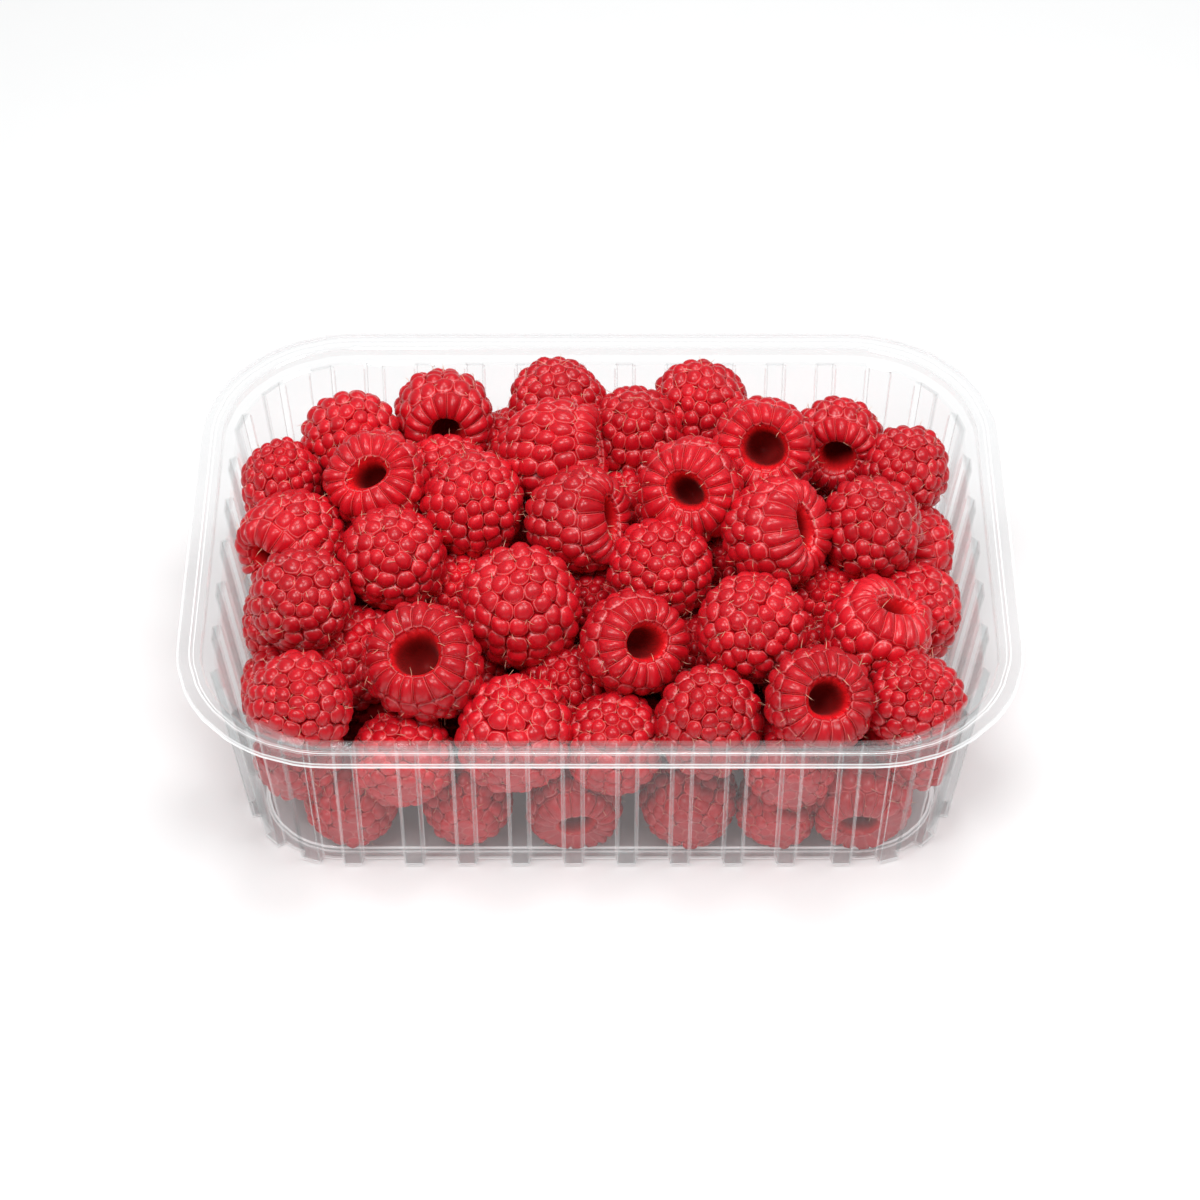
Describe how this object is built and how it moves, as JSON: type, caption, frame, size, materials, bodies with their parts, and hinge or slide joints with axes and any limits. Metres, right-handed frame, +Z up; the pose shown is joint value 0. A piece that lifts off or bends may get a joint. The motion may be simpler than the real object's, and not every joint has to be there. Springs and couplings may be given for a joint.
{
  "type": "punnet of raspberries",
  "caption": "Clear ribbed plastic punnet with a flat sealing rim, open at the top and heaped with fresh red raspberries.",
  "frame": {"origin": "middle of the foot, where the punnet stands", "axes": "+X along the long side, -Y towards the front, +Z up"},
  "size_m": [0.187, 0.137, 0.0633],
  "materials": {
    "clear_plastic": "clear glossy thermoformed plastic sheet",
    "raspberry": "red berry skin, softly glossy drupelets with pale edges"
  },
  "bodies": {
    "root": {"tray": "clear_plastic", "raspberries": "raspberry"}
  },
  "joints": []
}
